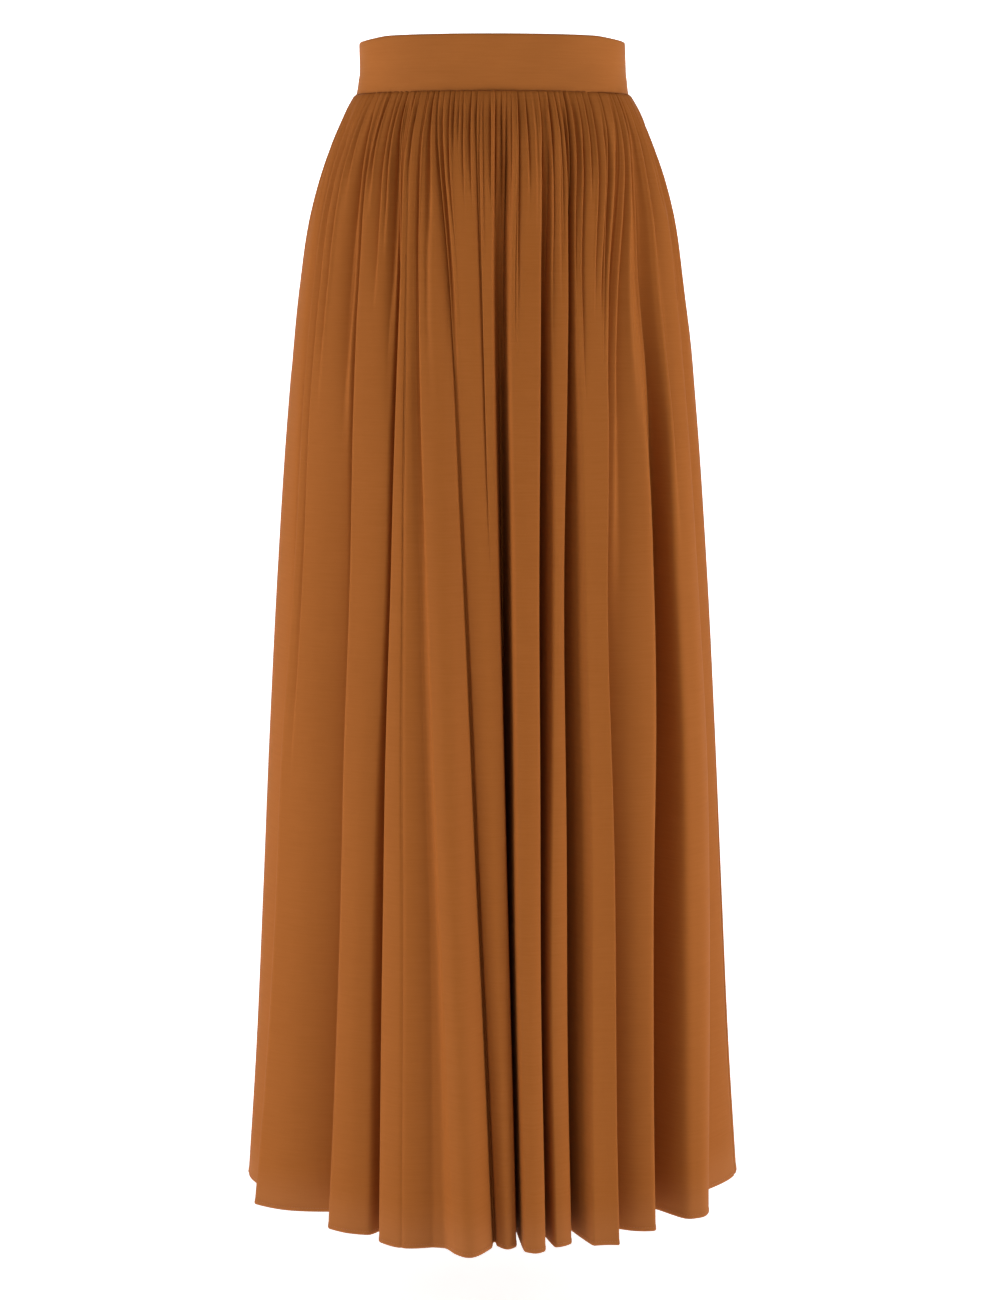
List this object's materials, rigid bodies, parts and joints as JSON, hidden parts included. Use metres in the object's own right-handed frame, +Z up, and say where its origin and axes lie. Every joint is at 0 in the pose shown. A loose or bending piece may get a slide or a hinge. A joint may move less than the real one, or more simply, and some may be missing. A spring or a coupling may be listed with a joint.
{
  "type": "gathered maxi skirt",
  "caption": "Floor-length gathered skirt with a plain high waistband, filled out as worn; deep soft folds fall from the waist to a narrow rolled hem.",
  "frame": {"origin": "centre of the waistband's hollow, half way up the band, where the wearer's waist holds the skirt", "axes": "+Z up along the skirt's length, -Y to the front, +X to the viewer's right when seen from the front"},
  "size_m": [0.4875, 0.3811, 1.1053],
  "materials": {
    "cloth": "soft matte crepe with a fine crosswise slub",
    "tape": "plain woven tape",
    "metal": "satin"
  },
  "bodies": {
    "skirt": {"waistband_front": "cloth", "waistband_back_left": "cloth", "waistband_back_right": "cloth", "skirt_front_left": "cloth", "skirt_front_centre": "cloth", "skirt_front_right": "cloth", "skirt_back_left": "cloth", "skirt_back_right": "cloth", "zip_tape": "tape", "zip_slider": "metal"},
    "pull": {"zip_pull": "metal"}
  },
  "joints": [
    {"name": "zip_pull_hinge", "type": "hinge", "parent": "skirt", "child": "pull", "pos_m": [0, 0.09017, 0.012], "axis": [1, 0, 0], "range_deg": [0, 150]}
  ]
}
